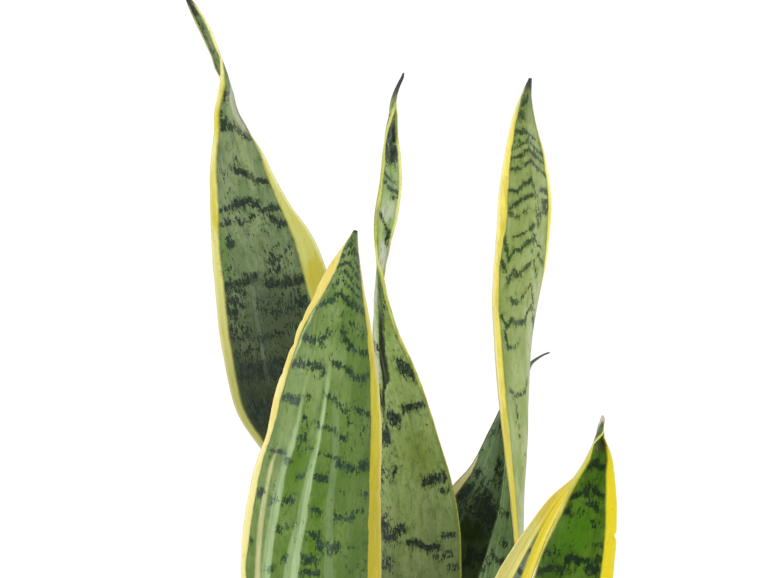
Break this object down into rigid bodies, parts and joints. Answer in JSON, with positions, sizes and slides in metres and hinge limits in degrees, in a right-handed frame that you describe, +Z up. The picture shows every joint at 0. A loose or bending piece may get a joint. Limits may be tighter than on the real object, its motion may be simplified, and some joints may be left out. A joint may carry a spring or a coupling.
{
  "type": "potted laurentii snake plant",
  "caption": "Potted laurentii snake plant: stiff upright twisted leaves with yellow edges and dark cross bands, rising from potting mix in a plain round terracotta pot.",
  "frame": {"origin": "middle of the pot's flat underside, on the surface that the pot stands on", "axes": "+Z up along the pot's axis and the leaves' length; -Y faces the viewer of the picture; +X to the viewer's right"},
  "size_m": [0.2176, 0.1648, 0.6235],
  "materials": {
    "leaf_back_left": "semi-gloss leaf, grey green with dark cross bands and yellow edges",
    "leaf_front_left": "semi-gloss leaf, light green with slate green cross bands and pale yellow edges",
    "leaf_middle": "semi-gloss leaf, sage green with dark cross bands and thin yellow edges",
    "leaf_tall_right": "semi-gloss leaf, yellow green with fine dark zigzag bands and a bright yellow edge",
    "leaf_leaning_right": "semi-gloss leaf, dark green with near-black patches and yellow edges",
    "leaf_front_right": "semi-gloss leaf, deep green with dark bands and broad yellow edges",
    "leaf_narrow_right": "semi-gloss leaf, mostly pale yellow with a grey green middle",
    "leaf_thread_tip": "semi-gloss leaf, mid green, with a dry dark thread at its tip",
    "soil": "rough damp potting mix",
    "pot": "matte unglazed terracotta"
  },
  "bodies": {
    "root": {"leaf_back_left": "leaf_back_left", "leaf_front_left": "leaf_front_left", "leaf_middle": "leaf_middle", "leaf_tall_right": "leaf_tall_right", "leaf_leaning_right": "leaf_leaning_right", "leaf_front_right": "leaf_front_right", "leaf_narrow_right": "leaf_narrow_right", "leaf_thread_tip": "leaf_thread_tip", "soil": "soil", "pot": "pot"}
  },
  "joints": []
}
